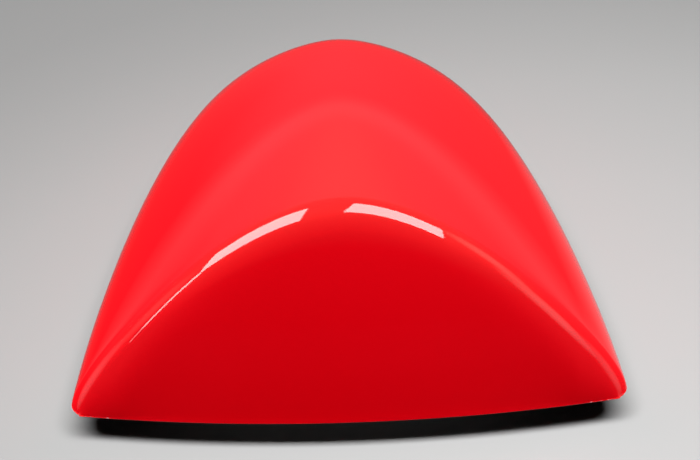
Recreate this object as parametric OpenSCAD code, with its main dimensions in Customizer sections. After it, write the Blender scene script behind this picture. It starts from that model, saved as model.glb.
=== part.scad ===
// Seat cowl: a one-piece moulded cover for the rear seat of a motorbike, with the fastening
// hardware under it. It stands on four rubber feet, tail towards +Y, near face towards -Y.
// Origin: centre of the footprint, on the plane the feet stand on. Millimetres, +Z up.

/* [Cowl] */
// Overall width of the cowl at the near face
cowl_width = 270; // [250:1:290]
// Overall length from the bowed near face to the tail
cowl_length = 293.6; // [270:0.2:320]
// Height of the top above the rim
cowl_height = 92; // [80:0.5:105]
// Height of the rim above the plane the feet stand on
rim_z = 17; // [10:0.5:22]
// How far the middle of the near face bows out past its corners
face_bow = 10.5; // [0:0.5:16]
// Lean of the near face: run back for each mm of rise
face_lean = 0.386; // [0.2:0.002:0.6]
// Hollow of the near face from rim to crest, added run in mm at 10 mm squared
face_sweep = 0.00202; // [0:0.0001:0.004]
// Radius of the crest between the near face and the top
crest_r = 8.1; // [6:0.1:12]
// How far the near face turns back under the crest, in degrees
crest_turn = 24; // [0:1:32]
// How soon that turn fades into the face: smaller is sooner
crest_fade = 20; // [14:0.5:30]

/* [Moulding] */
// Wall thickness of the moulding
wall = 3; // [2.4:0.1:4]
// Rounding at the foot of the rim
rim_r = 0.9; // [0.5:0.1:1.4]
// Depth of the ribs under the roof, from the outside
rib_depth = 15; // [10:0.5:20]
// Thickness of a rib
rib_t = 2; // [1.5:0.1:3]
// Distance of the two long ribs from the centre
long_rib_x = 36; // [28:1:46]
// Distance of the first cross rib behind the near face
first_rib_back = 66; // [58:1:74]
// Distance between cross ribs
cross_rib_pitch = 46; // [38:1:50]
// Height of the lower rib ends above the rim
rib_foot = 12; // [8:1:20]

/* [Bosses and posts] */
// Height of the boss ends above the rim, where the plate is screwed up
boss_z = 18; // [14:0.5:24]
// Outside diameter of a screw boss
boss_d = 13; // [11:0.5:16]
// Distance of the outer face bosses from the centre
face_boss_x = 65; // [58:1:72]
// Distance of the face bosses behind the near face
face_boss_back = 25; // [22:0.5:32]
// Distance of the tail bosses before the tail
tail_boss_back = 78; // [70:1:95]
// Height of the lower post ends above the rim
post_z = 5; // [2:0.5:8]
// Outside diameter of a post for a rubber foot
post_d = 15; // [13:0.5:18]
// Distance of the front feet from the centre
front_foot_x = 98; // [90:1:104]
// Distance of the front feet behind the near face
front_foot_back = 46; // [40:1:60]
// Distance of the rear feet from the centre
rear_foot_x = 72; // [64:1:78]
// Distance of the rear feet before the tail
rear_foot_back = 111; // [100:1:130]

/* [Plate and latch loop] */
// Thickness of the pressed plate
plate_t = 2; // [1.5:0.1:3]
// Width of the long strap of the plate
strap_w = 92; // [86:1:110]
// Distance from the centre of a strap boss to the edge of the strap
boss_edge = 12; // [10:0.5:16]
// Width of the windows in the strap
window_w = 24; // [16:1:28]
// Length of the windows in the strap
window_len = 40; // [30:1:48]
// Height of the turned-up edges of the strap
flange_h = 8; // [5:0.5:10]
// Width of the tongue at the tail
tongue_w = 40; // [30:1:50]
// Length of the tongue
tongue_len = 34; // [26:1:40]
// Step down of the tongue
tongue_drop = 7; // [4:0.5:10]
// Distance of the latch loop behind the near face
loop_back = 74; // [64:1:84]
// Height of the latch loop above the plane the feet stand on
loop_clear = 3; // [2:0.5:8]
// Diameter of the latch loop rod
loop_d = 8; // [6:0.5:9]
// Distance between the legs of the latch loop
loop_gap = 34; // [26:1:44]

/* [Fasteners and feet] */
// Thread diameter of the plate screws
screw_d = 5; // [4:1:6]
// Outside diameter of a brass insert
insert_d = 7; // [6:0.1:8]
// Diameter of a rubber foot
foot_d = 20; // [16:0.5:24]

/* [Hidden] */
half_w = cowl_width / 2;
run = cowl_length - face_bow;
y_face = face_bow - cowl_length / 2;
gap = 0.1;
e = 0.01;
// plan and ridge curves of the moulding: w = (1 - u^plan_a)^(1/plan_b), the same for the ridge
plan_a = 1.338;
plan_b = 2.767;
ridge_a = 3.229;
ridge_b = 1.474;

// places of the screw bosses: three behind the near face, two at mid length, two by the tail
y_tail = cowl_length / 2;
face_boss_y = y_face + face_boss_back;
tail_boss_y = y_tail - tail_boss_back;
mid_boss_y = (face_boss_y + tail_boss_y) / 2;
strap_boss_x = strap_w / 2 - boss_edge;
BOSSES = [
    [-face_boss_x, face_boss_y], [0, face_boss_y], [face_boss_x, face_boss_y],
    [-strap_boss_x, mid_boss_y], [strap_boss_x, mid_boss_y],
    [-strap_boss_x, tail_boss_y], [strap_boss_x, tail_boss_y]
];
FEET = [for (s = [-1, 1]) each [
    [s * front_foot_x, y_face + front_foot_back],
    [s * rear_foot_x, y_tail - rear_foot_back]
]];
rib_end = 15;
insert_len = 10;
insert_room = 3;
hole_d = screw_d + 0.8;
head_af = 8;
head_h = 3.4;
flange_d = 11.5;
flange_t = 1.4;
plate_z = boss_z - plate_t;
plate_edge = 13;
corner_r = 8;
strap_y0 = face_boss_y - plate_edge;
strap_y1 = tail_boss_y + plate_edge;
tongue_step = 8;
loop_y = y_face + loop_back;
loop_bend = 9;
collar_t = 2.5;
stem_d = 6;
stem_len = 10;
foot_taper = 3;

// Form of the moulding
function mix(a, b, f) = a + (b - a) * f;
function bez(a, b, c, d, t) =
    pow(1 - t, 3) * a + 3 * pow(1 - t, 2) * t * b + 3 * (1 - t) * t * t * c + pow(t, 3) * d;
// one arch, from its apex [0, 1] at t = 0 down to the rim [1, 0] at t = 1
function arch(u, t) = [
    sign(t) * bez(0, mix(0.471, 0.368, u), mix(1, 0.984, u), 1, abs(t)),
    bez(1, 1, mix(0.165, 0.522, u), 0, abs(t))
];
// station u: 0 at the near face, 1 at the tail
function section(u, t, d) = [
    (half_w - d) * pow(1 - pow(u, plan_a), 1 / plan_b) * arch(u, t)[0],
    (cowl_height - d) * pow(1 - pow(u, ridge_a), 1 / ridge_b) * arch(u, t)[1]
];
function unit(v) = v / norm(v);
// outward normal of the arch at station u
function arch_out(u, t) = let (
    a = section(u, min(t + 0.01, 1), 0),
    b = section(u, max(t - 0.01, -1), 0),
    v = unit(a - b)
) [-v[1], v[0]];
// the lean and bow of the near face, fading out towards the tail
function lean(x, z) =
    z * face_lean + z * z * face_sweep - face_bow * (1 - pow(x / half_w, 2));
function placed(x, y, z) =
    [x, y_face + y + lean(x, z) * pow(max(0, 1 - y / run), 1.5), z];

// Skin of the moulding set in by d, as a closed solid. nt: points on an arch (odd),
// nu: stations, nf: rows on the crest, nc: rows down the near face, foot: depth below the rim plane.
module skin(d, nt, nu, nf, nc, foot) {
    r = crest_r - min(d, 4);
    len = run - 2.2 * d;
    rows = nu + nf + nc;
    last = nu + nf - 1;
    lift = foot > 0 ? 0 : rim_r;
    // the crest arc stops at a_end, where the near face takes over with a slope that fades
    a_end = 90 - crest_turn;
    y_end = r * (1 - sin(a_end));
    function edge_at(t) = section(y_end / len, t, d) - r * (1 - cos(a_end)) * arch_out(y_end / len, t);
    function face_y(z, f, rise) = let (
        n = max(2, pow(z / crest_fade, 2)),
        c = max(0, (tan(crest_turn) * rise * z - y_end) / (n - 1))
    ) y_end * f + c * (pow(f, n) - f);
    function t_of(j) = -1 + 2 * j / (nt - 1);
    function ring_at(i, j) =
        i < nu ? let (
            u = 1 - pow((i + 1) / nu, 2.5) * (1 - r / len),
            q = section(u, t_of(j), d)
        ) placed(q[0], d + u * len, q[1])
        : i <= last ? let (
            a = a_end * (i - nu + 1) / nf,
            y = r * (1 - sin(a)),
            q = section(y / len, t_of(j), d) - r * (1 - cos(a)) * arch_out(y / len, t_of(j))
        ) placed(q[0], d + y, max(q[1], 0))
        : let (
            q = edge_at(t_of(j)),
            z = max(q[1], 0),
            f = 1 - pow((i - last) / nc, 1.7)
        ) placed(q[0], d + face_y(z, f, arch_out(0, t_of(j))[1]), z * f);
    // vertex numbers: 0 is the tail tip; the ends of the face rows fall on the last crest row
    function id(i, j) =
        i < 0 ? 0 : 1 + (i > last && (j == 0 || j == nt - 1) ? last : i) * nt + j;
    tip = placed(0, d + len, 0);
    grid = concat([tip], [for (i = [0:rows - 1], j = [0:nt - 1]) ring_at(i, j)]);
    pts = [for (p = grid) [p[0], p[1], max(p[2], lift)]];
    rim = concat([0], [for (i = [0:last]) id(i, nt - 1)],
        [for (j = [nt - 2:-1:1]) id(rows - 1, j)], [for (i = [last:-1:0]) id(i, 0)]);
    n = len(rim);
    k = (half_w - lift) / half_w;
    feet = [for (i = rim) [pts[i][0] * k, pts[i][1] * k, foot > 0 ? -foot : 0]];
    base = len(pts);
    quads = concat(
        [for (i = [-1:rows - 2], j = [0:nt - 2]) [id(i, j), id(i, j + 1), id(i + 1, j + 1), id(i + 1, j)]],
        [for (i = [0:n - 1]) [rim[(i + 1) % n], rim[i], base + i, base + (i + 1) % n]]
    );
    tris = [for (q = quads) each [[q[0], q[1], q[2]], [q[0], q[2], q[3]]]];
    sound = [for (f = tris) if (f[0] != f[1] && f[1] != f[2] && f[0] != f[2]) f];
    polyhedron(concat(pts, feet), concat(sound, [[for (i = [n - 1:-1:0]) base + i]]));
}

// plain walls that the ribs are cut from: long ribs, cross ribs and webs to the near face
module rib_walls() {
    for (s = [-1, 1])
        translate([s * long_rib_x - rib_t / 2, y_face + rib_end, rib_foot])
            cube([rib_t, run - 2 * rib_end, cowl_height]);
    for (k = [0:3])
        translate([-half_w, y_face + first_rib_back + k * cross_rib_pitch - rib_t / 2, rib_foot])
            cube([cowl_width, rib_t, cowl_height]);
}

module ribs() {
    difference() {
        rib_walls();
        skin(rib_depth, 19, 12, 3, 3, 1);
    }
}

// webs that tie the three front bosses to the near face
module face_webs() {
    for (x = [-face_boss_x, 0, face_boss_x])
        translate([x - rib_t / 2, y_face - face_bow, boss_z + 4])
            cube([rib_t, face_boss_y - y_face + face_bow, 40]);
}

module boss_columns() {
    for (p = BOSSES)
        translate([p[0], p[1], boss_z])
            cylinder(d = boss_d, h = cowl_height, $fn = 48);
    for (p = FEET)
        translate([p[0], p[1], post_z])
            cylinder(d = post_d, h = cowl_height, $fn = 48);
}

module cowl_shell() color([0.86, 0.03, 0.05]) translate([0, 0, rim_z])
    difference() {
        skin(0, 41, 26, 5, 9, 0);
        // the hollow inside, less everything moulded into it
        difference() {
            skin(wall, 29, 18, 4, 6, 1);
            ribs();
            face_webs();
            boss_columns();
        }
        for (p = BOSSES)
            translate([p[0], p[1], boss_z - 1])
                cylinder(d = insert_d + 2 * gap, h = insert_len + insert_room + 1, $fn = 48);
        for (p = FEET)
            translate([p[0], p[1], post_z - 1])
                cylinder(d = stem_d, h = stem_len + 2, $fn = 48);
    }

// Pressed plate
module rounded_bar(w, l, r) {
    square([w - 2 * r, l], center = true);
    square([w, l - 2 * r], center = true);
    for (x = [-1, 1], y = [-1, 1])
        translate([x * (w / 2 - r), y * (l / 2 - r)])
            circle(r, $fn = 32);
}

module plate_outline() {
    // cross bar under the face bosses
    translate([0, face_boss_y])
        rounded_bar(2 * (face_boss_x + plate_edge), 2 * plate_edge, corner_r);
    // long strap towards the tail
    translate([0, (strap_y0 + strap_y1) / 2])
        rounded_bar(strap_w, strap_y1 - strap_y0, corner_r);
}

module plate_cuts() {
    for (p = BOSSES)
        translate(p)
            circle(d = hole_d, $fn = 32);
    for (s = [-1, 1])
        translate([s * loop_gap / 2, loop_y])
            circle(d = loop_d + 2 * gap, $fn = 40);
    // lightening windows: between the latch loop and the middle bosses, and behind them
    for (y = [(loop_y + mid_boss_y) / 2 + corner_r, (mid_boss_y + tail_boss_y) / 2])
        translate([0, y])
            rounded_bar(window_w, window_len, corner_r);
}

module mounting_plate() color([0.62, 0.63, 0.65]) translate([0, 0, rim_z]) {
    translate([0, 0, plate_z])
        linear_extrude(plate_t)
            difference() {
                plate_outline();
                plate_cuts();
            }
    // turned-up edges that stiffen the strap
    for (s = [-1, 1])
        translate([s * (strap_w - plate_t) / 2, 0, plate_z + plate_t / 2])
            rotate([90, 0, 90])
                linear_extrude(plate_t, center = true)
                    polygon([
                        [face_boss_y + plate_edge, 0], [face_boss_y + plate_edge + flange_h, flange_h],
                        [strap_y1 - corner_r - flange_h, flange_h], [strap_y1 - corner_r, 0]
                    ]);
    // tongue at the tail, stepped down so that it slides under the frame bar
    translate([-tongue_w / 2, strap_y1, plate_z])
        rotate([90, 0, 90])
            linear_extrude(tongue_w)
                polygon([
                    [-4, 0], [0, 0], [tongue_step, -tongue_drop], [tongue_len, -tongue_drop],
                    [tongue_len, plate_t - tongue_drop], [tongue_step, plate_t - tongue_drop],
                    [0, plate_t], [-4, plate_t]
                ]);
}

// Latch loop: a U of round rod, its legs through the plate and headed on top
module latch_loop() color([0.75, 0.76, 0.78])
    translate([0, loop_y, rim_z]) {
        bend_z = loop_clear - rim_z + loop_d / 2 + loop_bend;
        for (s = [-1, 1]) {
            translate([s * loop_gap / 2, 0, bend_z])
                cylinder(d = loop_d, h = boss_z - bend_z + e, $fn = 40);
            translate([s * loop_gap / 2, 0, boss_z])
                cylinder(d1 = loop_d + 5, d2 = loop_d + 2, h = collar_t, $fn = 40);
            translate([s * (loop_gap / 2 - loop_bend), 0, bend_z])
                rotate([90, 0, 0])
                    rotate([0, 0, s > 0 ? -90 : 180])
                        rotate_extrude(angle = 90, $fn = 48)
                            translate([loop_bend, 0])
                                circle(d = loop_d, $fn = 40);
        }
        translate([0, 0, bend_z - loop_bend])
            rotate([0, 90, 0])
                cylinder(d = loop_d, h = loop_gap - 2 * loop_bend, center = true, $fn = 40);
    }

// Fasteners and rubber
module plate_screw() {
    // hexagon head on a round flange
    translate([0, 0, plate_z - flange_t - head_h])
        cylinder(d = head_af / cos(30), h = head_h + e, $fn = 6);
    translate([0, 0, plate_z - flange_t])
        cylinder(d = flange_d, h = flange_t, $fn = 40);
    translate([0, 0, plate_z - e])
        cylinder(d = screw_d, h = plate_t + insert_len - 1, $fn = 32);
}

module plate_screws() color([0.8, 0.81, 0.83])
    for (p = BOSSES)
        translate([p[0], p[1], rim_z])
            plate_screw();

module boss_inserts() color([0.83, 0.66, 0.32])
    for (p = BOSSES)
        translate([p[0], p[1], rim_z + boss_z])
            difference() {
                cylinder(d = insert_d, h = insert_len, $fn = 40);
                translate([0, 0, -1])
                    cylinder(d = screw_d + 2 * gap, h = insert_len + 2, $fn = 32);
                // two grooves that the plastic grips
                for (k = [1, 2])
                    translate([0, 0, k * insert_len / 3 - 0.6])
                        difference() {
                            cylinder(d = insert_d + 1, h = 1.2, $fn = 40);
                            translate([0, 0, -1])
                                cylinder(d = insert_d - 0.8, h = 3.2, $fn = 40);
                        }
            }

// a tapered stop with a waist under its collar and a stem up into the post
module rubber_foot() {
    top = rim_z + post_z;
    rotate_extrude($fn = 48)
        polygon([
            [0, 0], [foot_d / 2 - foot_taper - 1, 0], [foot_d / 2 - foot_taper, 1],
            [foot_d / 2 - 1, top - 5], [foot_d / 2 - 2.5, top - 4], [foot_d / 2 - 2.5, top - 3],
            [foot_d / 2, top - 2], [foot_d / 2, top],
            [stem_d / 2 - gap, top], [stem_d / 2 - gap, top + stem_len - 1],
            [stem_d / 2 - 1, top + stem_len], [0, top + stem_len]
        ]);
}

module rubber_feet() color([0.09, 0.09, 0.1])
    for (p = FEET)
        translate([p[0], p[1], 0])
            rubber_foot();

cowl_shell();
mounting_plate();
latch_loop();
plate_screws();
boss_inserts();
rubber_feet();
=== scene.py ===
import math

import bmesh
import bpy
import numpy as np
from mathutils import Euler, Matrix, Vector


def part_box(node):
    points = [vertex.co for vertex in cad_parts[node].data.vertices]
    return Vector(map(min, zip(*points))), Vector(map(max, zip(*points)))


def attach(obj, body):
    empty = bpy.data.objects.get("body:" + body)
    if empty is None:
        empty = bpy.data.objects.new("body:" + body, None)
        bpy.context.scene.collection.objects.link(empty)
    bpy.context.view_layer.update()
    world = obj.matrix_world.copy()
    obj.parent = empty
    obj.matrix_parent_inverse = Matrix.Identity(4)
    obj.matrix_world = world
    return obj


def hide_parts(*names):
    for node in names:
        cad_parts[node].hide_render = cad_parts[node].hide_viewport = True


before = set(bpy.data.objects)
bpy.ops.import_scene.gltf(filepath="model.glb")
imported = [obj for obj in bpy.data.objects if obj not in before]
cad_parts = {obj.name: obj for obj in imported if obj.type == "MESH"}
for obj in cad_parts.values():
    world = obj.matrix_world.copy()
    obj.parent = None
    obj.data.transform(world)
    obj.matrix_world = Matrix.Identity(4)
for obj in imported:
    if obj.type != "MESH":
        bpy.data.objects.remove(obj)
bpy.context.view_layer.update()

MM = 0.001
SHARP_EDGE = math.radians(32)

# driving sizes in millimetres, the same as in the solids
HALF_W = 135.0
RUN = 283.1
TOP = 92.0
BOW = 10.5
LEAN = 0.386
SWEEP = 0.00202
CREST_R = 8.1
CREST_TURN = math.radians(24)
CREST_FADE = 20.0
WALL = 3.0
RIM_R = 0.9
PLAN = (1.338, 2.767)
RIDGE = (3.229, 1.474)
# control points of the arch as shares of its half width and height, at the near face and at the tail
ARCH_FACE = (0.471, 0.0, 0.165)
ARCH_TAIL = (0.368, 0.016, 0.522)
Y_FACE = BOW - (RUN + BOW) / 2
Y_TAIL = (RUN + BOW) / 2

# ribs inside the moulding
RIB_DEPTH = 15.0
RIB_T = 2.0
LONG_RIB_X = 36.0
FIRST_RIB = 66.0
RIB_PITCH = 46.0
CROSS_RIBS = 4
WEB_LOW = 4.0
WEB_HIGH = 44.0
RIB_FOOT = 12.0
RIB_END = 15.0

# heights that the frame gives: the rim above the floor, the boss ends above the rim
RIM_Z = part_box("cowl_shell")[0][2] / MM
BOSS_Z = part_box("boss_inserts")[0][2] / MM - RIM_Z

# screw bosses and foot posts
BOSS_D = 13.0
BORE_D = 7.2
BORE_DEEP = 13.0
POST_D = 15.0
POST_Z = 5.0
STEM_BORE = 11.0
FACE_BOSS_X = 65.0
STRAP_BOSS_X = 34.0
FACE_ROW = Y_FACE + 25
TAIL_ROW = Y_TAIL - 78
MIDDLE_ROW = (FACE_ROW + TAIL_ROW) / 2
BOSSES = [(x, FACE_ROW) for x in (-FACE_BOSS_X, 0, FACE_BOSS_X)]
BOSSES += [(x, y) for y in (MIDDLE_ROW, TAIL_ROW) for x in (-STRAP_BOSS_X, STRAP_BOSS_X)]
FRONT_FOOT = (98.0, Y_FACE + 46)
REAR_FOOT = (72.0, Y_TAIL - 111)
POSTS = [(s * x, y) for x, y in (FRONT_FOOT, REAR_FOOT) for s in (-1, 1)]

# screws, latch loop and feet
PLATE_T = 2.0
SCREW_D = 5.0
SCREW_DEEP = 11.0
HEAD_AF = 8.0
HEAD_H = 3.4
DISH_DEEP = 0.5
# shares of the width across flats
CHAMFER_R = 0.49
DISH_R = (0.22, 0.3)
FLANGE_D = 11.5
FLANGE_T = 1.4
FLANGE_TAPER = 0.86
# the flange reaches a little into the head, so that both become one body
FLANGE_INTO_HEAD = 1.04
LOOP_Y = Y_FACE + 74
LOOP_D = 8.0
LOOP_GAP = 34.0
LOOP_BEND = 9.0
LOOP_CLEAR = 3.0
LOOP_HEAD = (13.0, 10.0, 2.5)
FOOT_D = 20.0
FOOT_TAPER = 3.0
STEM_D = 6.0
STEM_LEN = 10.0


# form of the moulding
def bezier(a, b, c, d, t):
    return (1 - t) ** 3 * a + 3 * (1 - t) ** 2 * t * b + 3 * (1 - t) * t * t * c + t ** 3 * d


def section(u, t, inset):
    """The arch at station u, 0 at the near face and 1 at the tail, for t from -1 to 1."""
    k, c1, c2 = (face + (tail - face) * u for face, tail in zip(ARCH_FACE, ARCH_TAIL))
    a = np.abs(t)
    x = np.sign(t) * bezier(0, k, 1 - c1, 1, a)
    z = bezier(1, 1, c2, 0, a)
    wide = (HALF_W - inset) * max(0.0, 1 - u ** PLAN[0]) ** (1 / PLAN[1])
    tall = (TOP - inset) * max(0.0, 1 - u ** RIDGE[0]) ** (1 / RIDGE[1])
    return wide * x, tall * z


def outward(u, t):
    """Unit normal of the arch in its own plane."""
    x1, z1 = section(u, np.minimum(t + 0.01, 1), 0)
    x0, z0 = section(u, np.maximum(t - 0.01, -1), 0)
    dx, dz = x1 - x0, z1 - z0
    n = np.hypot(dx, dz)
    return -dz / n, dx / n


def placed(x, y, z):
    """Adds the lean and bow of the near face, which fade out towards the tail."""
    shift = z * LEAN + z * z * SWEEP - BOW * (1 - (x / HALF_W) ** 2)
    return np.stack([x, Y_FACE + y + shift * np.maximum(0, 1 - y / RUN) ** 1.5, z], -1)


def skin(inset, across, along, crest, down, foot_rows, foot_drop=0.0):
    """Closed skin of the moulding set in by inset: (points, faces).

    It ends in a rounded foot, or foot_drop below the rim."""
    r = CREST_R - min(inset, 4)
    length = RUN - 2.2 * inset
    lift = 0.0 if foot_drop else RIM_R
    end = math.pi / 2 - CREST_TURN
    y_end = r * (1 - math.sin(end))
    t = np.linspace(-1, 1, across)
    rows = []
    for i in range(along):
        u = 1 - ((i + 1) / along) ** 2.5 * (1 - r / length)
        x, z = section(u, t, inset)
        rows.append(placed(x, np.full(across, inset + u * length), z))
    for i in range(crest):
        a = end * (i + 1) / crest
        y = r * (1 - math.sin(a))
        x, z = section(y / length, t, inset)
        nx, nz = outward(y / length, t)
        d = r * (1 - math.cos(a))
        rows.append(placed(x - d * nx, np.full(across, inset + y), np.maximum(z - d * nz, 0)))
    last = len(rows) - 1
    x, z = section(y_end / length, t, inset)
    nx, nz = outward(y_end / length, t)
    d = r * (1 - math.cos(end))
    x, z = x - d * nx, np.maximum(z - d * nz, 0)
    # the near face leaves the crest at a slope that fades towards the rim
    power = np.maximum(2, (z / CREST_FADE) ** 2)
    swell = np.maximum(0, (math.tan(CREST_TURN) * outward(0.0, t)[1] * z - y_end) / (power - 1))
    for i in range(down):
        f = 1 - ((i + 1) / down) ** 1.7
        rows.append(placed(x, inset + y_end * f + swell * (f ** power - f), z * f))
    tip = placed(np.array([0.0]), np.array([inset + length]), np.array([0.0]))
    pts = np.concatenate([tip] + rows)
    pts[:, 2] = np.maximum(pts[:, 2], lift)

    def number(i, j):
        if i < 0:
            return 0
        if i > last and j in (0, across - 1):
            i = last
        return 1 + i * across + j

    faces = []
    for i in range(-1, len(rows) - 1):
        for j in range(across - 1):
            loop = [number(i, j), number(i, j + 1), number(i + 1, j + 1), number(i + 1, j)]
            faces.append(list(dict.fromkeys(loop)))
    faces = [f for f in faces if len(f) > 2]
    rim = [0] + [number(i, across - 1) for i in range(last + 1)]
    rim += [number(len(rows) - 1, j) for j in range(across - 2, 0, -1)]
    rim += [number(i, 0) for i in range(last, -1, -1)]
    ring, base = rim, pts[rim]
    for k in range(foot_rows):
        a = math.pi / 2 * (k + 1) / foot_rows
        size = (HALF_W - lift * (1 - math.cos(a))) / HALF_W
        down_to = -foot_drop * (k + 1) / foot_rows if foot_drop else lift * (1 - math.sin(a))
        loop = np.column_stack([base[:, :2] * size, np.full(len(base), down_to)])
        new = list(range(len(pts), len(pts) + len(loop)))
        pts = np.concatenate([pts, loop])
        n = len(ring)
        faces += [[ring[(i + 1) % n], ring[i], new[i], new[(i + 1) % n]] for i in range(n)]
        ring = new
    faces.append(ring[::-1])
    pts[:, 2] += RIM_Z
    return pts * MM, faces


def mesh_object(name, pts, faces, material=None):
    me = bpy.data.meshes.new(name)
    me.from_pydata([tuple(p) for p in pts], [] if faces else [(i, i + 1) for i in range(len(pts) - 1)], faces)
    if material:
        me.materials.append(material)
    bm = bmesh.new()
    bm.from_mesh(me)
    bmesh.ops.remove_doubles(bm, verts=bm.verts, dist=1e-6)
    bmesh.ops.dissolve_degenerate(bm, edges=bm.edges, dist=1e-7)
    bmesh.ops.recalc_face_normals(bm, faces=bm.faces)
    bm.to_mesh(me)
    bm.free()
    ob = bpy.data.objects.new(name, me)
    bpy.context.scene.collection.objects.link(ob)
    return ob


def box_points(x0, x1, y0, y1, z0, z1):
    pts = [(x, y, z) for x in (x0, x1) for y in (y0, y1) for z in (z0, z1)]
    faces = [(0, 1, 3, 2), (4, 6, 7, 5), (0, 4, 5, 1), (2, 3, 7, 6), (0, 2, 6, 4), (1, 5, 7, 3)]
    return np.array(pts) * MM, faces


def rod_points(x, y, z0, z1, d, n=48):
    a = np.arange(n) * 2 * math.pi / n
    ring = np.column_stack([x + d / 2 * np.cos(a), y + d / 2 * np.sin(a)])
    pts = np.concatenate([np.column_stack([ring, np.full(n, z)]) for z in (z0, z1)])
    faces = [(i, (i + 1) % n, n + (i + 1) % n, n + i) for i in range(n)]
    faces += [tuple(range(n))[::-1], tuple(range(n, 2 * n))]
    return pts * MM, faces


def softened(profile, r):
    """A profile of (radius, height) points with each inner corner cut by a short curve."""
    out = [profile[0]]
    for a, b, c in zip(profile, profile[1:], profile[2:]):
        a, b, c = (np.array(p) for p in (a, b, c))
        la, lc = np.linalg.norm(a - b), np.linalg.norm(c - b)
        p, q = b + (a - b) * min(r / la, 0.45), b + (c - b) * min(r / lc, 0.45)
        out += [tuple((1 - f) ** 2 * p + 2 * f * (1 - f) * b + f * f * q) for f in (0, 0.33, 0.67, 1)]
    return out + [profile[-1]]


def turned_points(profile, n=64):
    """A profile that starts and ends on the axis, turned round Z."""
    a = np.arange(n) * 2 * math.pi / n
    rows = [np.column_stack([r * np.cos(a), r * np.sin(a), np.full(n, z)]) for r, z in profile[1:-1]]
    pts = np.concatenate([[(0, 0, profile[0][1])]] + rows + [[(0, 0, profile[-1][1])]])
    last = len(pts) - 1
    faces = [(0, 1 + (i + 1) % n, 1 + i) for i in range(n)]
    for k in range(len(rows) - 1):
        b = 1 + k * n
        faces += [(b + i, b + (i + 1) % n, b + n + (i + 1) % n, b + n + i) for i in range(n)]
    b = 1 + (len(rows) - 1) * n
    faces += [(b + i, b + (i + 1) % n, last) for i in range(n)]
    return pts * MM, faces


def cut(ob, tool, operation="DIFFERENCE"):
    """Applies a boolean of tool to ob and removes the tool."""
    m = ob.modifiers.new("cut", "BOOLEAN")
    m.operation, m.object, m.solver, m.material_mode = operation, tool, "MANIFOLD", "TRANSFER"
    deps = bpy.context.evaluated_depsgraph_get()
    me = bpy.data.meshes.new_from_object(ob.evaluated_get(deps))
    ob.modifiers.remove(m)
    old = ob.data
    ob.data = me
    bpy.data.meshes.remove(old)
    bpy.data.objects.remove(tool)


# geometry trees
def fit(nt, kind, inputs, **settings):
    """Adds a node. Each input is a number, a vector, the output of another node or a list of such outputs."""
    node = nt.nodes.new(kind)
    for key, value in settings.items():
        setattr(node, key, value)
    for key, value in inputs.items():
        for one in value if isinstance(value, list) else [value]:
            if isinstance(one, bpy.types.NodeSocket):
                nt.links.new(one, node.inputs[key])
            else:
                node.inputs[key].default_value = one
    return node.outputs[0]


def reckon(nt, operation, a, b):
    return fit(nt, "ShaderNodeMath", {0: a, 1: b}, operation=operation)


def vector(nt, x=0.0, y=0.0, z=0.0):
    return fit(nt, "ShaderNodeCombineXYZ", {0: x, 1: y, 2: z})


def moved(nt, shape, z):
    return fit(nt, "GeometryNodeTransform", {"Geometry": shape, "Translation": vector(nt, z=z)})


def bool_of(nt, operation, *shapes):
    """Union or intersection of shapes, or the first less the rest."""
    if operation == "DIFFERENCE":
        inputs = {"Mesh 1": shapes[0], "Mesh 2": list(shapes[1:])}
    else:
        inputs = {"Mesh 2": list(shapes)}
    return fit(nt, "GeometryNodeMeshBoolean", inputs, operation=operation, solver="MANIFOLD")


def new_tree(name, sizes):
    """A geometry tree with one input for each named size: (tree, outputs of its input node)."""
    nt = bpy.data.node_groups.new(name, "GeometryNodeTree")
    nt.interface.new_socket("Shape", in_out="INPUT", socket_type="NodeSocketGeometry")
    for key in sizes:
        kind = "NodeSocketInt" if key.endswith(("Count", "Seed")) else "NodeSocketFloat"
        nt.interface.new_socket(key, in_out="INPUT", socket_type=kind)
    nt.interface.new_socket("Material", in_out="INPUT", socket_type="NodeSocketMaterial")
    nt.interface.new_socket("Mesh", in_out="OUTPUT", socket_type="NodeSocketGeometry")
    return nt, nt.nodes.new("NodeGroupInput").outputs


def close_tree(nt, given, result):
    """Ends a tree in plain geometry with its material."""
    real = fit(nt, "GeometryNodeRealizeInstances", {"Geometry": result})
    done = fit(nt, "GeometryNodeSetMaterial", {"Geometry": real, "Material": given["Material"]})
    nt.links.new(done, nt.nodes.new("NodeGroupOutput").inputs[0])
    return nt


def line_of_points(nt, count, start, step):
    return fit(nt, "GeometryNodeMeshLine", {"Count": count, "Start Location": start, "Offset": step},
               mode="OFFSET")


def rows_tree(rows):
    """Sets a shape out in rows across the cowl, each copy turned by chance within a limit."""
    sizes = [f"Row {k} {what}" for k in range(1, rows + 1) for what in ("Count", "Spacing", "Y")]
    nt, given = new_tree(f"shapes_in_{rows}_rows", sizes + ["Level", "Most Turn", "Seed"])
    lines = []
    for k in range(1, rows + 1):
        count, spacing, y = (given[f"Row {k} {what}"] for what in ("Count", "Spacing", "Y"))
        half = reckon(nt, "MULTIPLY", reckon(nt, "SUBTRACT", count, 1.0), -0.5)
        start = vector(nt, reckon(nt, "MULTIPLY", half, spacing), y, given["Level"])
        lines.append(line_of_points(nt, count, start, vector(nt, spacing)))
    points = fit(nt, "GeometryNodeJoinGeometry", {0: lines})
    chance = nt.nodes.new("FunctionNodeRandomValue")
    chance.data_type = "FLOAT"
    nt.links.new(given["Most Turn"], chance.inputs[3])
    chance.inputs[2].default_value = 0.0
    nt.links.new(given["Seed"], chance.inputs["Seed"])
    turn = fit(nt, "FunctionNodeEulerToRotation", {0: vector(nt, z=chance.outputs[1])})
    copies = fit(nt, "GeometryNodeInstanceOnPoints",
                 {"Points": points, "Instance": given["Shape"], "Rotation": turn})
    return close_tree(nt, given, copies)


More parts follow.
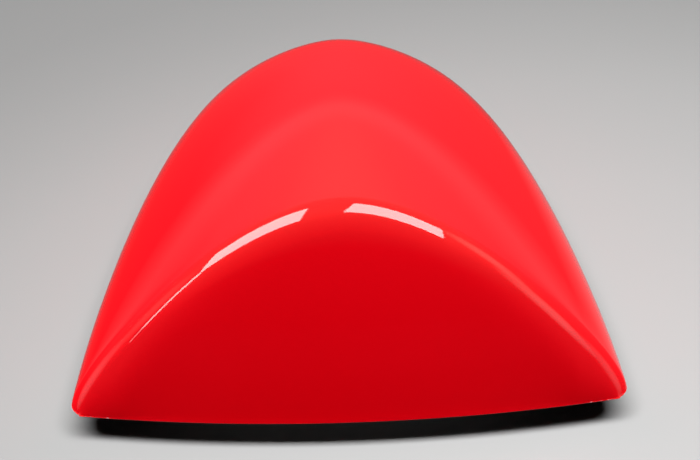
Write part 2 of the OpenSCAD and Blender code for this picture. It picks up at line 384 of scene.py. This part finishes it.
def screw_tree():
    """One flanged hexagon screw, its plate face at height 0 and its chamfered head below."""
    nt, given = new_tree("flange_screw", ["Across Flats", "Head Height", "Flange Diameter", "Flange Height",
                                          "Thread Diameter", "Depth", "Dish Depth"])
    flats, head, flange = given["Across Flats"], given["Head Height"], given["Flange Height"]
    foot = reckon(nt, "MULTIPLY", reckon(nt, "ADD", head, flange), -1.0)
    corner = reckon(nt, "DIVIDE", flats, math.sqrt(3))
    hexagon = fit(nt, "GeometryNodeMeshCylinder", {"Vertices": 6, "Radius": corner, "Depth": head})
    hexagon = moved(nt, hexagon, reckon(nt, "SUBTRACT", reckon(nt, "MULTIPLY", head, -0.5), flange))
    # the cone leaves a 30 degree chamfer round the end of the hexagon
    inner = reckon(nt, "MULTIPLY", flats, CHAMFER_R)
    outer = reckon(nt, "ADD", inner, reckon(nt, "MULTIPLY", head, math.sqrt(3)))
    cone = fit(nt, "GeometryNodeMeshCone",
               {"Vertices": 60, "Radius Top": outer, "Radius Bottom": inner, "Depth": head})
    dish = fit(nt, "GeometryNodeMeshCone", {"Vertices": 36,
                                            "Radius Top": reckon(nt, "MULTIPLY", flats, DISH_R[0]),
                                            "Radius Bottom": reckon(nt, "MULTIPLY", flats, DISH_R[1]),
                                            "Depth": reckon(nt, "MULTIPLY", given["Dish Depth"], 2.0)})
    dish = moved(nt, dish, reckon(nt, "SUBTRACT", foot, given["Dish Depth"]))
    top = bool_of(nt, "INTERSECT", hexagon, moved(nt, cone, foot))
    top = bool_of(nt, "DIFFERENCE", top, dish)
    radius = reckon(nt, "MULTIPLY", given["Flange Diameter"], 0.5)
    skirt = fit(nt, "GeometryNodeMeshCone", {"Vertices": 60, "Radius Top": radius,
                                             "Radius Bottom": reckon(nt, "MULTIPLY", radius, FLANGE_TAPER),
                                             "Depth": reckon(nt, "MULTIPLY", flange, FLANGE_INTO_HEAD)})
    skirt = moved(nt, skirt, reckon(nt, "MULTIPLY", flange, -FLANGE_INTO_HEAD))
    reach = reckon(nt, "ADD", given["Depth"], flange)
    core = reckon(nt, "MULTIPLY", given["Thread Diameter"], 0.5)
    shank = fit(nt, "GeometryNodeMeshCylinder", {"Vertices": 40, "Depth": reach, "Radius": core})
    shank = moved(nt, shank, reckon(nt, "MULTIPLY", reckon(nt, "SUBTRACT", given["Depth"], flange), 0.5))
    return close_tree(nt, given, bool_of(nt, "UNION", top, skirt, shank))


def loop_tree():
    """A round rod along a line with filleted corners, headed at the top of both legs."""
    nt, given = new_tree("headed_loop", ["Rod Diameter", "Bend Radius", "Leg Spacing", "Y", "Level",
                                         "Head Width Below", "Head Width Above", "Head Height"])
    path = fit(nt, "GeometryNodeMeshToCurve", {"Mesh": given["Shape"]})
    path = fit(nt, "GeometryNodeFilletCurve", {"Curve": path, "Count": 14, "Radius": given["Bend Radius"]},
               mode="POLY")
    radius = reckon(nt, "MULTIPLY", given["Rod Diameter"], 0.5)
    ring = fit(nt, "GeometryNodeCurvePrimitiveCircle", {"Resolution": 48, "Radius": radius})
    rod = fit(nt, "GeometryNodeCurveToMesh", {"Curve": path, "Profile Curve": ring, "Fill Caps": True})
    below = reckon(nt, "MULTIPLY", given["Head Width Below"], 0.5)
    above = reckon(nt, "MULTIPLY", given["Head Width Above"], 0.5)
    head = fit(nt, "GeometryNodeMeshCone",
               {"Vertices": 48, "Radius Bottom": below, "Radius Top": above, "Depth": given["Head Height"]})
    start = vector(nt, reckon(nt, "MULTIPLY", given["Leg Spacing"], -0.5), given["Y"], given["Level"])
    ends = line_of_points(nt, 2, start, vector(nt, given["Leg Spacing"]))
    heads = fit(nt, "GeometryNodeInstanceOnPoints", {"Points": ends, "Instance": head})
    heads = fit(nt, "GeometryNodeRealizeInstances", {"Geometry": heads})
    return close_tree(nt, given, bool_of(nt, "UNION", rod, heads))


def rib_tree():
    """Walls for the ribs: two along the cowl and a row across it."""
    nt, given = new_tree("rib_walls", ["Thickness", "Height", "Level", "Long Spacing", "Long Length",
                                       "Long Y", "Cross Width", "Cross Pitch", "Cross Y", "Cross Count"])
    thick, tall = given["Thickness"], given["Height"]
    size = fit(nt, "GeometryNodeMeshCube", {"Size": vector(nt, thick, given["Long Length"], tall)})
    start = vector(nt, reckon(nt, "MULTIPLY", given["Long Spacing"], -0.5), given["Long Y"], given["Level"])
    line = line_of_points(nt, 2, start, vector(nt, given["Long Spacing"]))
    long_ribs = fit(nt, "GeometryNodeInstanceOnPoints", {"Points": line, "Instance": size})
    size = fit(nt, "GeometryNodeMeshCube", {"Size": vector(nt, given["Cross Width"], thick, tall)})
    line = line_of_points(nt, given["Cross Count"], vector(nt, 0.0, given["Cross Y"], given["Level"]),
                          vector(nt, 0.0, given["Cross Pitch"]))
    cross_ribs = fit(nt, "GeometryNodeInstanceOnPoints", {"Points": line, "Instance": size})
    plain = [fit(nt, "GeometryNodeRealizeInstances", {"Geometry": g}) for g in (long_ribs, cross_ribs)]
    return close_tree(nt, given, bool_of(nt, "UNION", *plain))


def grown(name, nt, shape, material, **sizes):
    """Runs a geometry tree on a shape, with sizes in millimetres, and keeps the result as a plain mesh."""
    ob = mesh_object(name, *shape)
    m = ob.modifiers.new(nt.name, "NODES")
    m.node_group = nt
    unset = {key.replace("_", " "): value for key, value in sizes.items()}
    for item in nt.interface.items_tree:
        if item.in_out == "OUTPUT" or item.name == "Shape":
            continue
        if item.name == "Material":
            m[item.identifier] = material
        else:
            value = unset.pop(item.name)
            m[item.identifier] = value if item.name.endswith(("Count", "Seed", "Turn")) else value * MM
    assert not unset, unset
    deps = bpy.context.evaluated_depsgraph_get()
    me = bpy.data.meshes.new_from_object(ob.evaluated_get(deps))
    ob.modifiers.remove(m)
    old = ob.data
    ob.data = me
    bpy.data.meshes.remove(old)
    me.materials.clear()
    me.materials.append(material)
    me.polygons.foreach_set("material_index", [0] * len(me.polygons))
    me.shade_smooth()
    me.set_sharp_from_angle(angle=SHARP_EDGE)
    return ob


# materials
def new_material(name):
    mat = bpy.data.materials.new(name)
    mat.use_nodes = True
    nt = mat.node_tree
    nt.nodes.clear()
    out = nt.nodes.new("ShaderNodeOutputMaterial")
    bsdf = nt.nodes.new("ShaderNodeBsdfPrincipled")
    nt.links.new(bsdf.outputs[0], out.inputs[0])
    return mat, nt, bsdf


def add(nt, kind, **values):
    node = nt.nodes.new("ShaderNode" + kind)
    for key, value in values.items():
        if key in node.inputs:
            node.inputs[key].default_value = value
        else:
            setattr(node, key, value)
    return node


def ramp(nt, source, stops):
    node = add(nt, "ValToRGB")
    els = node.color_ramp.elements
    while len(els) < len(stops):
        els.new(0.5)
    for el, (pos, col) in zip(els, stops):
        el.position, el.color = pos, (*col, 1)
    nt.links.new(source, node.inputs[0])
    return node.outputs[0]


def spread(nt, source, lo, hi, a, b, kind="LINEAR"):
    node = add(nt, "MapRange", interpolation_type=kind)
    for key, value in zip(("From Min", "From Max", "To Min", "To Max"), (lo, hi, a, b)):
        node.inputs[key].default_value = value
    nt.links.new(source, node.inputs[0])
    return node.outputs[0]


def math_node(nt, operation, a, b=0.0):
    node = add(nt, "Math", operation=operation)
    for socket, value in zip(node.inputs, (a, b)):
        if isinstance(value, (int, float)):
            socket.default_value = value
        else:
            nt.links.new(value, socket)
    return node.outputs[0]


def shader_group(name, inputs, outputs):
    """An empty shader node group with these named sockets."""
    nt = bpy.data.node_groups.new(name, "ShaderNodeTree")
    for key, kind in inputs.items():
        nt.interface.new_socket(key, in_out="INPUT", socket_type="NodeSocket" + kind)
    for key, kind in outputs.items():
        nt.interface.new_socket(key, in_out="OUTPUT", socket_type="NodeSocket" + kind)
    return nt, nt.nodes.new("NodeGroupInput").outputs, nt.nodes.new("NodeGroupOutput").inputs


def mottle_group():
    """Slow drift between two shades of a colour."""
    inputs = {"Scale": "Float", "Detail": "Float", "Dark": "Color", "Light": "Color"}
    nt, given, out = shader_group("mottle", inputs, {"Color": "Color"})
    place = nt.nodes.new("ShaderNodeTexCoord").outputs["Object"]
    cloud = fit(nt, "ShaderNodeTexNoise",
                {"Vector": place, "Scale": given["Scale"], "Detail": given["Detail"]})
    part = fit(nt, "ShaderNodeMapRange", {"Value": cloud, "From Min": 0.33, "From Max": 0.67})
    mix = nt.nodes.new("ShaderNodeMix")
    mix.data_type = "RGBA"
    nt.links.new(part, mix.inputs[0])
    nt.links.new(given["Dark"], mix.inputs[6])
    nt.links.new(given["Light"], mix.inputs[7])
    nt.links.new(mix.outputs[2], out["Color"])
    return nt


def grain_group():
    """Fine grain, drawn out along an axis where Stretch is low there: a roughness and a height for a bump."""
    inputs = {"Scale": "Float", "Detail": "Float", "Stretch": "Vector", "Smooth": "Float", "Rough": "Float"}
    nt, given, out = shader_group("grain", inputs, {"Roughness": "Float", "Height": "Float"})
    place = nt.nodes.new("ShaderNodeTexCoord").outputs["Object"]
    place = fit(nt, "ShaderNodeVectorMath", {0: place, 1: given["Stretch"]}, operation="MULTIPLY")
    fine = fit(nt, "ShaderNodeTexNoise",
               {"Vector": place, "Scale": given["Scale"], "Detail": given["Detail"], "Roughness": 0.6})
    rough = fit(nt, "ShaderNodeMapRange", {"Value": fine, "From Min": 0.3, "From Max": 0.7,
                                           "To Min": given["Smooth"], "To Max": given["Rough"]})
    nt.links.new(rough, out["Roughness"])
    nt.links.new(fine, out["Height"])
    return nt


MOTTLE = mottle_group()
GRAIN = grain_group()


def placed_group(nt, tree, **values):
    """Puts a shader group into a material with its own values."""
    node = nt.nodes.new("ShaderNodeGroup")
    node.node_tree = tree
    for key, value in values.items():
        node.inputs[key].default_value = value
    return node.outputs


def finish(name, dark, light, cloud, grain, bumps, stretch=(1, 1, 1), detail=4.0):
    """A surface whose colour drifts between two shades, with fine grain in its roughness and its bump.

    cloud and grain are noise scales, grain with the roughness at its smooth and rough spots.
    bumps is strength and height."""
    mat, nt, b = new_material(name)
    colour = placed_group(nt, MOTTLE, Scale=cloud, Detail=3.0, Dark=(*dark, 1), Light=(*light, 1))
    nt.links.new(colour["Color"], b.inputs["Base Color"])
    scale, smooth, rough = grain
    fine = placed_group(nt, GRAIN, Scale=scale, Detail=detail, Stretch=stretch, Smooth=smooth, Rough=rough)
    nt.links.new(fine["Roughness"], b.inputs["Roughness"])
    bump = add(nt, "Bump", Strength=bumps[0], Distance=bumps[1])
    nt.links.new(fine["Height"], bump.inputs["Height"])
    nt.links.new(bump.outputs[0], b.inputs["Normal"])
    return mat, nt, b


def red_lacquer():
    """Signal red under a clear coat, with the faint unevenness of sprayed paint."""
    mat, _, b = finish("red_lacquer", (0.570, 0.0002, 0.0036), (0.590, 0.0004, 0.0042), 9.0,
                       (420.0, 0.34, 0.42), (0.05, 0.00008), detail=2.0)
    b.inputs["Coat Weight"].default_value = 1.0
    b.inputs["Coat Roughness"].default_value = 0.035
    b.inputs["Coat IOR"].default_value = 1.5
    b.inputs["Specular IOR Level"].default_value = 0.0
    return mat


def black_moulding():
    """The unpainted inside of the moulding, with a fine eroded grain."""
    return finish("black_moulding", (0.010, 0.010, 0.011), (0.018, 0.018, 0.019), 35.0,
                  (1100.0, 0.45, 0.62), (0.25, 0.0001))[0]


def bare_metal(name, dark, light, rough, stretch, spangle):
    """Plated steel or brass: a blotchy bloom and fine lines drawn along one direction."""
    mat, _, b = finish(name, dark, light, spangle, (160.0, rough - 0.07, rough + 0.09), (0.12, 0.00006),
                       stretch, 5.0)
    b.inputs["Metallic"].default_value = 1.0
    return mat


def black_rubber():
    """Moulded rubber with a dull skin."""
    return finish("dull_rubber", (0.012, 0.012, 0.012), (0.026, 0.025, 0.024), 50.0,
                  (900.0, 0.6, 0.8), (0.3, 0.00012))[0]


def dress(node, material):
    """Gives a CAD node that stays its own procedural material."""
    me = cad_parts[node].data
    if me.materials:
        for i in range(len(me.materials)):
            me.materials[i] = material
    else:
        me.materials.append(material)


red = red_lacquer()
inside = black_moulding()
rod_steel = bare_metal("zinc_rod", (0.55, 0.55, 0.56), (0.68, 0.68, 0.68), 0.26, (0.08, 1, 1), 90.0)
screw_steel = bare_metal("zinc_screw", (0.50, 0.50, 0.50), (0.66, 0.65, 0.62), 0.30, (1, 1, 0.1), 140.0)
zinc_sheet = bare_metal("zinc_sheet", (0.44, 0.45, 0.46), (0.60, 0.60, 0.58), 0.36, (1, 0.06, 1), 60.0)
turned_brass = bare_metal("turned_brass", (0.62, 0.43, 0.16), (0.78, 0.57, 0.24), 0.30, (1, 1, 12), 120.0)
dress("mounting_plate", zinc_sheet)
dress("boss_inserts", turned_brass)


# the cowl
def build_cowl():
    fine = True
    across, along, crest, down = (181, 110, 14, 36) if fine else (121, 70, 10, 20)
    shell = mesh_object("cowl", *skin(0, across, along, crest, down, 5), red)
    top = TOP + RIM_Z
    ribs = grown("ribs", rib_tree(), ([(0, 0, 0)], []), inside, Thickness=RIB_T, Height=TOP - RIB_FOOT,
                 Level=RIM_Z + (TOP + RIB_FOOT) / 2, Long_Spacing=2 * LONG_RIB_X,
                 Long_Length=RUN - 2 * RIB_END, Long_Y=Y_FACE + RUN / 2, Cross_Width=2 * HALF_W,
                 Cross_Pitch=RIB_PITCH, Cross_Y=Y_FACE + FIRST_RIB, Cross_Count=CROSS_RIBS)
    cut(ribs, mesh_object("rib_limit", *skin(RIB_DEPTH, 61, 40, 6, 10, 1, 1.0), inside))
    hollow = mesh_object("hollow", *skin(WALL, 101, 60, 8, 16, 1, 1.0), inside)
    cut(hollow, ribs)
    for x in (-FACE_BOSS_X, 0, FACE_BOSS_X):
        web = box_points(x - RIB_T / 2, x + RIB_T / 2, Y_FACE - BOW, FACE_ROW,
                         RIM_Z + BOSS_Z + WEB_LOW, RIM_Z + BOSS_Z + WEB_HIGH)
        cut(hollow, mesh_object("web", *web, inside))
    for x, y in BOSSES:
        cut(hollow, mesh_object("boss", *rod_points(x, y, RIM_Z + BOSS_Z, top, BOSS_D), inside))
    for x, y in POSTS:
        cut(hollow, mesh_object("post", *rod_points(x, y, RIM_Z + POST_Z, top, POST_D), inside))
    cut(shell, hollow)
    for x, y in BOSSES:
        z = RIM_Z + BOSS_Z
        cut(shell, mesh_object("bore", *rod_points(x, y, z - 1, z + BORE_DEEP, BORE_D), inside))
    for x, y in POSTS:
        z = RIM_Z + POST_Z
        cut(shell, mesh_object("bore", *rod_points(x, y, z - 1, z + STEM_BORE, STEM_D), inside))
    me = shell.data
    # the flat end of the rim is left unpainted, as the inside is
    unpainted = list(me.materials).index(inside)
    for face in me.polygons:
        if face.normal.z < -0.9 and face.center.z < (RIM_Z + 0.05) * MM:
            face.material_index = unpainted
    me.shade_smooth()
    me.set_sharp_from_angle(angle=SHARP_EDGE)
    return shell


cowl = build_cowl()
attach(cowl, "root")
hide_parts("cowl_shell")


# the hardware under it
def build_screws():
    one = grown("screw", screw_tree(), ([(0, 0, 0)], []), screw_steel, Across_Flats=HEAD_AF,
                Head_Height=HEAD_H, Flange_Diameter=FLANGE_D, Flange_Height=FLANGE_T,
                Thread_Diameter=SCREW_D, Depth=SCREW_DEEP, Dish_Depth=DISH_DEEP)
    return set_out("flange_screws", one, screw_steel, RIM_Z + BOSS_Z - PLATE_T,
                   [(3, FACE_BOSS_X, FACE_ROW), (2, 2 * STRAP_BOSS_X, MIDDLE_ROW),
                    (2, 2 * STRAP_BOSS_X, TAIL_ROW)], math.radians(60))


def build_feet():
    top = RIM_Z + POST_Z
    r, stem = FOOT_D / 2, STEM_D / 2 - 0.1
    profile = [(0, 0), (r - FOOT_TAPER - 1, 0), (r - FOOT_TAPER, 1), (r - 1, top - 5),
               (r - 2.5, top - 4), (r - 2.5, top - 3), (r, top - 2), (r, top), (stem, top),
               (stem, top + STEM_LEN - 1), (2, top + STEM_LEN), (0, top + STEM_LEN)]
    one = mesh_object("foot", *turned_points(softened(profile, 0.5)))
    rows = [(2, 2 * x, y) for x, y in (FRONT_FOOT, REAR_FOOT)]
    return set_out("rubber_stops", one, black_rubber(), 0.0, rows, 0.0)


def set_out(name, one, material, level, rows, most_turn):
    """Copies of a finished shape in rows of (how many, how far apart, at which y)."""
    shape = ([tuple(v.co) for v in one.data.vertices], [tuple(p.vertices) for p in one.data.polygons])
    bpy.data.objects.remove(one)
    sizes = {}
    for k, row in enumerate(rows, 1):
        for what, value in zip(("Count", "Spacing", "Y"), row):
            sizes[f"Row_{k}_{what}"] = value
    return grown(name, rows_tree(len(rows)), shape, material, Level=level, Most_Turn=most_turn, Seed=4,
                 **sizes)


def build_loop():
    x, low, top = LOOP_GAP / 2, LOOP_CLEAR + LOOP_D / 2, RIM_Z + BOSS_Z
    corners = [(-x, top + 0.01), (-x, low), (x, low), (x, top + 0.01)]
    line = np.array([(across, LOOP_Y, z) for across, z in corners]) * MM
    below, above, tall = LOOP_HEAD
    return grown("bent_loop", loop_tree(), (line, []), rod_steel, Rod_Diameter=LOOP_D,
                 Bend_Radius=LOOP_BEND, Leg_Spacing=LOOP_GAP, Y=LOOP_Y, Level=top,
                 Head_Width_Below=below, Head_Width_Above=above, Head_Height=tall)


part_pieces = [cowl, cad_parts["mounting_plate"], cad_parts["boss_inserts"]]
for piece, node, slot in ((build_screws(), "plate_screws", "screw_steel"),
                          (build_loop(), "latch_loop", "plated_rod"),
                          (build_feet(), "rubber_feet", "black_rubber")):
    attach(piece, "root")
    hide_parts(node)
    part_pieces.append(piece)


# floor, light and camera
FLOOR_REACH = 14.0
# centre of the pool of light painted into the floor's colour
PAINTED_POOL_CENTRE = (0.12, -0.25, 0.0)
PANEL_Z = 1.2

# the camera as solved from the photo, with its place in millimetres from the middle of the rim
CAMERA_AT = (-2.17, -649.33, 555.35)
CAMERA_TURN = (49.2004, 1.1642, -1.5071)
FOCAL_PIXELS = 1560.0
PHOTO_WIDTH = 700.0
SENSOR = 36.0


def floor_material():
    """A pale sheet whose colour carries a painted pool of light in front of the part, painted to fall off
    evenly all round.
    """
    mat, nt, b = new_material("pale_backdrop_painted_pool")
    away = add(nt, "VectorMath", operation="DISTANCE")
    nt.links.new(add(nt, "TexCoord").outputs["Object"], away.inputs[0])
    away.inputs[1].default_value = PAINTED_POOL_CENTRE
    # painted light: the sheet's colour is lighter near the part and darker further off, standing in for the
    # fall-off of the light
    painted_light_falloff = ((0.0, 0.535), (0.10, 0.530), (0.20, 0.495), (0.30, 0.455), (0.40, 0.400), (0.45, 0.362),
              (0.50, 0.327), (0.55, 0.300), (0.62, 0.283), (0.70, 0.280))
    painted_light_pool = ramp(nt, away.outputs["Value"], [(p, (v, v, 1.007 * v)) for p, v in painted_light_falloff])
    nt.links.new(painted_light_pool, b.inputs["Base Color"])
    fine = placed_group(nt, GRAIN, Scale=500.0, Detail=2.0, Stretch=(1, 1, 1), Smooth=0.65, Rough=0.8)
    nt.links.new(fine["Roughness"], b.inputs["Roughness"])
    b.inputs["Specular IOR Level"].default_value = 0.0
    return mat


floor_corners = [(x * FLOOR_REACH, y * FLOOR_REACH, 0) for x, y in ((-1, -1), (1, -1), (1, 1), (-1, 1))]
floor = mesh_object("floor", floor_corners, [(0, 1, 2, 3)], floor_material())
floor.visible_glossy = False


def panel(name, size, place, turn, radiance, mirrored):
    """A light panel of a size and place in metres, facing down before its turn in degrees about X, Y and Z.

    A mirrored panel shows only in the gloss, any other only lights matt colour."""
    data = bpy.data.lights.new(name, "AREA")
    data.shape = "RECTANGLE"
    data.size, data.size_y = size
    data.energy = radiance * math.pi * data.size * data.size_y
    ob = bpy.data.objects.new(name, data)
    ob.location = place
    ob.rotation_euler = [math.radians(a) for a in turn]
    ob.visible_glossy, ob.visible_diffuse = mirrored, not mirrored
    bpy.context.scene.collection.objects.link(ob)
    return ob


def lighting_only(light, objects):
    """Lets a panel light these objects and nothing else."""
    group = bpy.data.collections.new(light.name + "_lit")
    for ob in objects:
        group.objects.link(ob)
    light.light_linking.receiver_collection = group


# what the gloss mirrors: name, size, place, turn about Z, radiance
for name, size, (x, y), turn, radiance in (("left_panel", (0.766, 0.58), (-0.6625, -0.39), 0, 13.0),
                                           ("left_panel_end", (0.95, 0.13), (-1.39, -0.99), 41, 12.0),
                                           ("left_panel_tip", (0.40, 0.07), (-1.90, -1.435), 41, 7.0),
                                           ("right_panel", (0.65, 0.51), (0.365, -0.425), -11, 13.0)):
    panel(name, size, (x, y, PANEL_Z), (0, 0, turn), radiance, True)

# what lights the part and nothing else: name, size, place, turn, radiance
for name, size, place, turn, radiance in (
        ("left_panel_soft", (0.766, 0.58), (-0.6625, -0.39, PANEL_Z), (0, 0, 0), 5.2),
        ("right_panel_soft", (0.65, 0.51), (0.365, -0.425, PANEL_Z), (0, 0, -11), 5.2),
        ("overhead_soft", (3.0, 2.2), (0, 0.35, 1.5), (0, 0, 0), 3.5),
        ("behind_soft", (3.0, 1.2), (0, 1.5, 0.95), (-60, 0, 0), 3.0),
        ("front_soft", (1.6, 0.3), (0, -1.6, 0.25), (90, 0, 0), 1.5),
        ("side_soft_left", (0.5, 1.4), (-1.4, 0.42, 0.75), (0, -90, 0), 15.0),
        ("side_soft_right", (0.5, 1.4), (1.4, 0.42, 0.75), (0, 90, 0), 12.5)):
    lighting_only(panel(name, size, place, turn, radiance, False), part_pieces)

lighting_only(panel("floor_soft", (7.0, 1.4), (0, -1.0, 6.0), (0, 0, 0), 18.0, False), [floor])


def toward(azimuth, elevation):
    """Unit vector for a direction round the object, azimuth from +Y towards +X."""
    a, e = math.radians(azimuth), math.radians(elevation)
    return (math.sin(a) * math.cos(e), math.cos(a) * math.cos(e), math.sin(e))


def grey_ramp(nt, source, lo, hi, stops):
    """A ramp whose stops are given in the source's own units."""
    fac = spread(nt, source, lo, hi, 0.0, 1.0)
    return ramp(nt, fac, [((p - lo) / (hi - lo), (v, v, v)) for p, v in stops])


def studio_world():
    """The surround in the gloss: a pale wall and ceiling behind and above, and dark in front.

    A dim arch stands low behind, with soft glows at each side. Matt colours get a little of the ceiling.
    In the ramps a stop is the height of a direction, or its share of an axis, and the brightness there."""
    world = bpy.data.worlds.new("studio")
    bpy.context.scene.world = world
    world.use_nodes = True
    nt = world.node_tree
    nt.nodes.clear()
    out = nt.nodes.new("ShaderNodeOutputWorld")
    back = nt.nodes.new("ShaderNodeBackground")
    nt.links.new(back.outputs[0], out.inputs[0])
    coord = add(nt, "TexCoord").outputs["Generated"]

    def along(azimuth, elevation):
        dot = add(nt, "VectorMath", operation="DOT_PRODUCT")
        dot.inputs[1].default_value = toward(azimuth, elevation)
        nt.links.new(coord, dot.inputs[0])
        return dot.outputs["Value"]

    z = along(0, 90)
    flat = math_node(nt, "SUBTRACT", 1.0, math_node(nt, "MULTIPLY", z, z))
    level = math_node(nt, "SQRT", math_node(nt, "MAXIMUM", flat, 1e-4))
    ya = math_node(nt, "DIVIDE", along(0, 0), level)
    wall = grey_ramp(nt, z, -0.5, 1.0, [
        (-0.5, 0.12), (-0.17, 0.20), (0.0, 0.28), (0.26, 0.45), (0.5, 0.62), (0.64, 0.82),
        (0.77, 0.88), (0.87, 0.80), (0.94, 0.72), (1.0, 0.68)])
    arch = grey_ramp(nt, z, -0.62, 0.6, [
        (-0.62, 0.24), (-0.53, 0.17), (-0.46, 0.11), (-0.34, 0.085), (-0.17, 0.13),
        (0.0, 0.19), (0.17, 0.27), (0.34, 0.35), (0.5, 0.42)])
    front = grey_ramp(nt, z, 0.2, 1.0, [
        (0.25, 0.0), (0.5, 0.02), (0.64, 0.15), (0.77, 0.33), (0.87, 0.53), (0.94, 0.64), (1.0, 0.68)])
    side = grey_ramp(nt, ya, -1.0, 1.0, [
        (-1.0, 0.0), (-0.77, 0.2), (-0.3, 0.42), (0.2, 0.48), (0.5, 0.58), (0.77, 0.8), (1.0, 1.0)])
    axis = along(0, -17)
    within = spread(nt, axis, 0.715, 0.765, 0.0, 1.0)
    ring = grey_ramp(nt, axis, 0.6, 0.9, [(0.68, 0.0), (0.735, 0.16), (0.79, 0.0)])

    def mixed(fac, a, b):
        """a where fac is 0, b where it is 1."""
        of_a = math_node(nt, "MULTIPLY", a, math_node(nt, "SUBTRACT", 1.0, fac))
        return math_node(nt, "ADD", of_a, math_node(nt, "MULTIPLY", b, fac))

    # the low left is dimmer
    far_left = spread(nt, along(90, 0), -0.6, -0.2, 0.5, 0.0)
    low_left = math_node(nt, "MULTIPLY", far_left, spread(nt, z, -0.05, 0.25, 1.0, 0.0))
    behind = math_node(nt, "MULTIPLY", mixed(within, wall, arch), math_node(nt, "SUBTRACT", 1.0, low_left))
    light = math_node(nt, "ADD", mixed(side, front, behind), ring)
    # soft round glows: azimuth, elevation, radius of the core, radius of the edge, brightness
    for azimuth, elevation, inner, outer, value in (
            (118, 30, 4, 15, 1.5), (103, 47, 3, 12, 1.3), (108, 8, 3, 17, 0.8),
            (-101, 10, 4, 17, 0.95), (-103, 33, 3, 13, 0.5), (45, -40, 6, 27, 0.33)):
        near, far = math.cos(math.radians(inner)), math.cos(math.radians(outer))
        glow = spread(nt, along(azimuth, elevation), far, near, 0.0, value)
        light = math_node(nt, "ADD", light, glow)
    path = add(nt, "LightPath")
    overhead = grey_ramp(nt, z, 0.0, 1.0, [(0.92, 0.0), (1.0, 0.8)])
    plain = mixed(path.outputs["Is Camera Ray"], overhead, 0.5)
    # the ceiling is warmer than the walls
    warm = ramp(nt, z, [(0.35, (1.0, 1.0, 1.0)), (0.85, (1.0, 1.0, 0.74))])
    tinted = add(nt, "VectorMath", operation="SCALE")
    nt.links.new(warm, tinted.inputs[0])
    nt.links.new(mixed(path.outputs["Is Glossy Ray"], plain, light), tinted.inputs["Scale"])
    nt.links.new(tinted.outputs[0], back.inputs["Color"])


studio_world()

camera_data = bpy.data.cameras.new("camera")
camera_data.sensor_width = SENSOR
camera_data.lens = FOCAL_PIXELS / PHOTO_WIDTH * SENSOR
camera_data.clip_start, camera_data.clip_end = 0.01, 50.0
camera = bpy.data.objects.new("camera", camera_data)
camera.location = Vector((CAMERA_AT[0], CAMERA_AT[1], CAMERA_AT[2] + RIM_Z)) * MM
camera.rotation_euler = Euler([math.radians(a) for a in CAMERA_TURN], "XYZ")
bpy.context.scene.collection.objects.link(camera)
bpy.context.scene.camera = camera

bpy.context.scene.view_settings.view_transform = "Standard"
bpy.context.scene.view_settings.look = "None"
